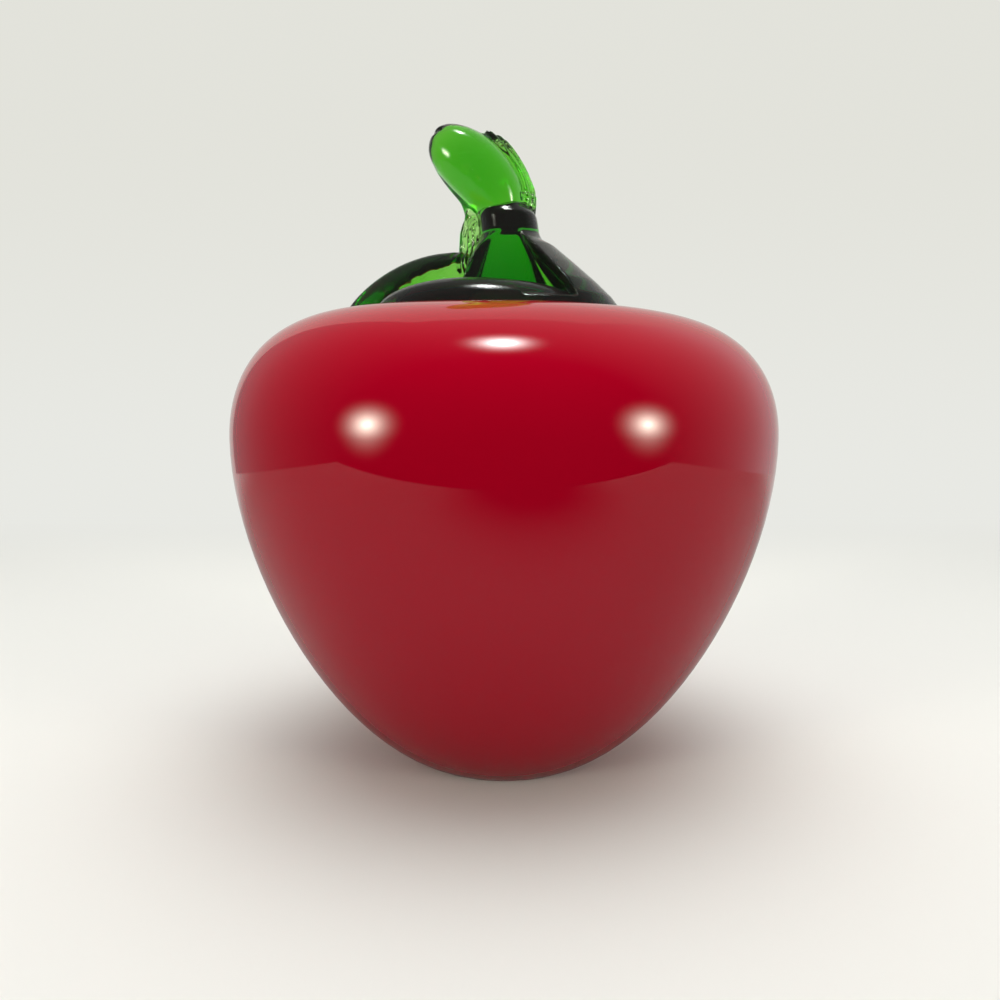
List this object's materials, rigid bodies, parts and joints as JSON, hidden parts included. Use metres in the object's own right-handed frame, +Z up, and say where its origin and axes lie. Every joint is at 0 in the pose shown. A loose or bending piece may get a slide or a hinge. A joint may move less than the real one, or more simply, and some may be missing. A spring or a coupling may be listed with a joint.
{
  "type": "glass apple ornament",
  "caption": "Hollow blown red glass apple that stands on a base ring, with a curled stem, a spread foot and a crimped leaf in transparent green glass.",
  "frame": {"origin": "centre of the base ring, on the surface that the apple stands on", "axes": "+Z up along the apple's axis, -Y to the viewer, -X to the side that the stem and the leaf lean to"},
  "size_m": [0.095, 0.095, 0.1125],
  "materials": {
    "red_glass": "fire-polished opaque red glass, high gloss",
    "opal_glass": "smooth opal glass inside the wall",
    "green_glass": "fire-polished transparent green glass"
  },
  "bodies": {
    "root": {"red_casing": "red_glass", "opal_core": "opal_glass", "stem_foot": "green_glass", "stem": "green_glass", "leaf": "green_glass", "leaf_tail": "green_glass"}
  },
  "joints": []
}
